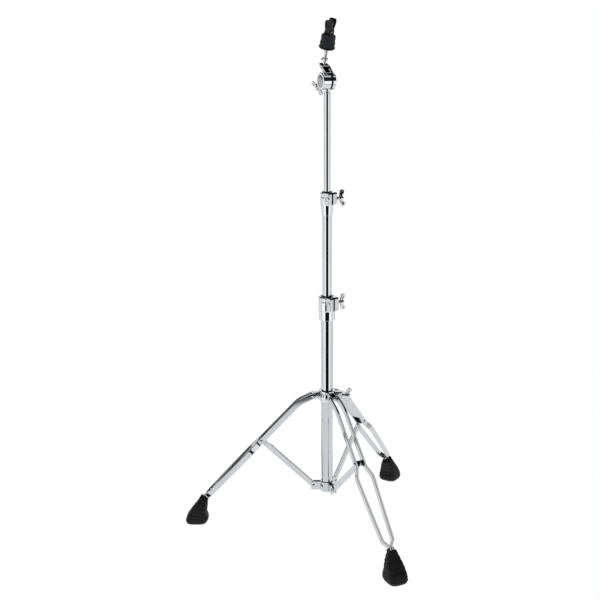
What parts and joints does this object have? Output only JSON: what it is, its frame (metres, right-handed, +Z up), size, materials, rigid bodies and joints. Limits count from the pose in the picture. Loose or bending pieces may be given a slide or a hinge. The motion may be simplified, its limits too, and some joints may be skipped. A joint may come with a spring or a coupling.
{
  "type": "straight cymbal stand",
  "caption": "Chromed straight cymbal stand: folding double-braced tripod, telescoping tubes with wing-bolt clamps, and a tilter that carries felts on a rod under a quick-release nut.",
  "frame": {"origin": "middle of the footprint, at floor level", "axes": "+Z up along the tubes; the left leg points along -X; the tubes stand off the origin in +X, because one leg points away from two"},
  "size_m": [0.5561, 0.6346, 1.2563],
  "materials": {
    "chrome": "bright chromed steel and die-cast metal",
    "nylon": "black moulded nylon, slight sheen",
    "rubber": "black moulded rubber, matt",
    "felt": "dark pressed wool felt"
  },
  "bodies": {
    "base": {"base_tube": "chrome", "base_plug": "nylon", "lower_bracket": "chrome", "bracket_screw": "chrome", "low_pin_left": "chrome", "low_pin_front": "chrome", "low_pin_back": "chrome", "lower_clamp": "chrome", "lower_clamp_nut": "chrome"},
    "stay_left": {"stay_left": "chrome"},
    "leg_left": {"leg_bar_left_a": "chrome", "leg_bar_left_b": "chrome", "top_pin_left": "chrome", "mid_pin_left": "chrome", "spacer_left_a": "nylon", "spacer_left_b": "nylon", "neck_left": "rubber", "foot_left": "rubber"},
    "stay_front": {"stay_front": "chrome"},
    "leg_front": {"leg_bar_front_a": "chrome", "leg_bar_front_b": "chrome", "top_pin_front": "chrome", "mid_pin_front": "chrome", "spacer_front_a": "nylon", "spacer_front_b": "nylon", "neck_front": "rubber", "foot_front": "rubber"},
    "stay_back": {"stay_back": "chrome"},
    "leg_back": {"leg_bar_back_a": "chrome", "leg_bar_back_b": "chrome", "top_pin_back": "chrome", "mid_pin_back": "chrome", "spacer_back_a": "nylon", "spacer_back_b": "nylon", "neck_back": "rubber", "foot_back": "rubber"},
    "collar": {"collar": "chrome"},
    "collar_wing_bolt": {"collar_wing_bolt": "chrome"},
    "lower_wing_bolt": {"lower_wing_bolt": "chrome"},
    "lower_bushing": {"lower_bushing": "nylon"},
    "middle": {"middle_tube": "chrome", "upper_clamp": "chrome", "upper_clamp_nut": "chrome"},
    "upper_wing_bolt": {"upper_wing_bolt": "chrome"},
    "upper_bushing": {"upper_bushing": "nylon"},
    "top": {"top_tube": "chrome", "tilter_housing": "chrome", "tilter_cover": "chrome", "friction_washer": "nylon"},
    "tilter_wing_bolt": {"tilter_wing_bolt": "chrome"},
    "tilter_arm": {"tilter_arm": "chrome", "pivot_bolt": "chrome", "rod": "chrome", "stop_collar": "chrome", "cymbal_seat": "nylon"},
    "lower_felt": {"lower_felt": "felt"},
    "upper_felt": {"upper_felt": "felt"},
    "nut": {"nut_body": "nylon"},
    "paddle_a": {"nut_paddle_a": "nylon"},
    "paddle_b": {"nut_paddle_b": "nylon"}
  },
  "joints": [
    {"name": "fold_left", "type": "hinge", "parent": "base", "child": "stay_left", "pos_m": [0.04606, 0, 0.1056], "axis": [0, 1, 0], "range_deg": [-12, 37]},
    {"name": "leg_swing_left", "type": "hinge", "parent": "stay_left", "child": "leg_left", "pos_m": [-0.08476, 0, 0.22631], "axis": [0, 1, 0], "range_deg": [-74.5, 24.5]},
    {"name": "fold_front", "type": "hinge", "parent": "base", "child": "stay_front", "pos_m": [0.09706, -0.02944, 0.1056], "axis": [-0.866, -0.5, 0], "range_deg": [-12, 37]},
    {"name": "leg_swing_front", "type": "hinge", "parent": "stay_front", "child": "leg_front", "pos_m": [0.16246, -0.14273, 0.22631], "axis": [-0.866, -0.5, 0], "range_deg": [-74.5, 24.5]},
    {"name": "fold_back", "type": "hinge", "parent": "base", "child": "stay_back", "pos_m": [0.09706, 0.02944, 0.1056], "axis": [0.866, -0.5, 0], "range_deg": [-12, 37]},
    {"name": "leg_swing_back", "type": "hinge", "parent": "stay_back", "child": "leg_back", "pos_m": [0.16246, 0.14273, 0.22631], "axis": [0.866, -0.5, 0], "range_deg": [-74.5, 24.5]},
    {"name": "collar_hinge", "type": "hinge", "parent": "leg_left", "child": "collar", "pos_m": [0.04606, 0, 0.34702], "axis": [0, 1, 0], "range_deg": [-12.5, 37.5]},
    {"name": "collar_wing_spin", "type": "hinge", "parent": "collar", "child": "collar_wing_bolt", "pos_m": [0.11706, 0, 0.34702], "axis": [1, 0, 0], "continuous": true},
    {"name": "lower_wing_spin", "type": "hinge", "parent": "base", "child": "lower_wing_bolt", "pos_m": [0.10474, -0.0038, 0.5856], "axis": [0.7361, 0.6769, 0], "continuous": true},
    {"name": "middle_turn", "type": "hinge", "parent": "base", "child": "lower_bushing", "pos_m": [0.08006, 0, 0.5646], "axis": [0, 0, 1], "continuous": true},
    {"name": "middle_slide", "type": "slide", "parent": "lower_bushing", "child": "middle", "axis": [0, 0, 1], "range_m": [-0.195, 0.19]},
    {"name": "upper_wing_spin", "type": "hinge", "parent": "middle", "child": "upper_wing_bolt", "pos_m": [0.10261, -0.00148, 0.8406], "axis": [0.7361, 0.6769, 0], "continuous": true},
    {"name": "top_turn", "type": "hinge", "parent": "middle", "child": "upper_bushing", "pos_m": [0.08006, 0, 0.8246], "axis": [0, 0, 1], "continuous": true},
    {"name": "top_slide", "type": "slide", "parent": "upper_bushing", "child": "top", "axis": [0, 0, 1], "range_m": [-0.21, 0.2]},
    {"name": "tilter_wing_spin", "type": "hinge", "parent": "top", "child": "tilter_wing_bolt", "pos_m": [0.06314, 0.01877, 1.10299], "axis": [-0.4199, 0.8032, -0.4226], "continuous": true},
    {"name": "rod_tilt", "type": "hinge", "parent": "top", "child": "tilter_arm", "pos_m": [0.08006, 0, 1.1144], "axis": [0.8862, 0.4633, 0], "range_deg": [-68, 57]},
    {"name": "lower_felt_lift", "type": "slide", "parent": "tilter_arm", "child": "lower_felt", "axis": [0.1585, -0.3031, 0.9397], "range_m": [0, 0.02]},
    {"name": "upper_felt_lift", "type": "slide", "parent": "lower_felt", "child": "upper_felt", "axis": [0.1585, -0.3031, 0.9397], "range_m": [0, 0.025]},
    {"name": "nut_lift", "type": "slide", "parent": "upper_felt", "child": "nut", "axis": [0.1585, -0.3031, 0.9397], "range_m": [0, 0.045]},
    {"name": "paddle_press_a", "type": "hinge", "parent": "nut", "child": "paddle_a", "pos_m": [0.08301, -0.05142, 1.22459], "axis": [0.9197, -0.301, -0.2522], "range_deg": [-6, 0], "stiffness_Nm_per_rad": 0.08, "springref_deg": 3.44},
    {"name": "paddle_press_b", "type": "hinge", "parent": "nut", "child": "paddle_b", "pos_m": [0.08984, -0.03424, 1.22898], "axis": [-0.9197, 0.301, 0.2522], "range_deg": [-6, 0], "stiffness_Nm_per_rad": 0.08, "springref_deg": 3.44}
  ],
  "couplings": [
    {"joint": "fold_front", "follows": "fold_left", "ratio": 1},
    {"joint": "fold_back", "follows": "fold_left", "ratio": 1},
    {"joint": "leg_swing_left", "follows": "fold_left", "ratio": -2},
    {"joint": "leg_swing_front", "follows": "fold_left", "ratio": -2},
    {"joint": "leg_swing_back", "follows": "fold_left", "ratio": -2},
    {"joint": "collar_hinge", "follows": "fold_left", "ratio": 1},
    {"joint": "paddle_press_b", "follows": "paddle_press_a", "ratio": 1}
  ]
}
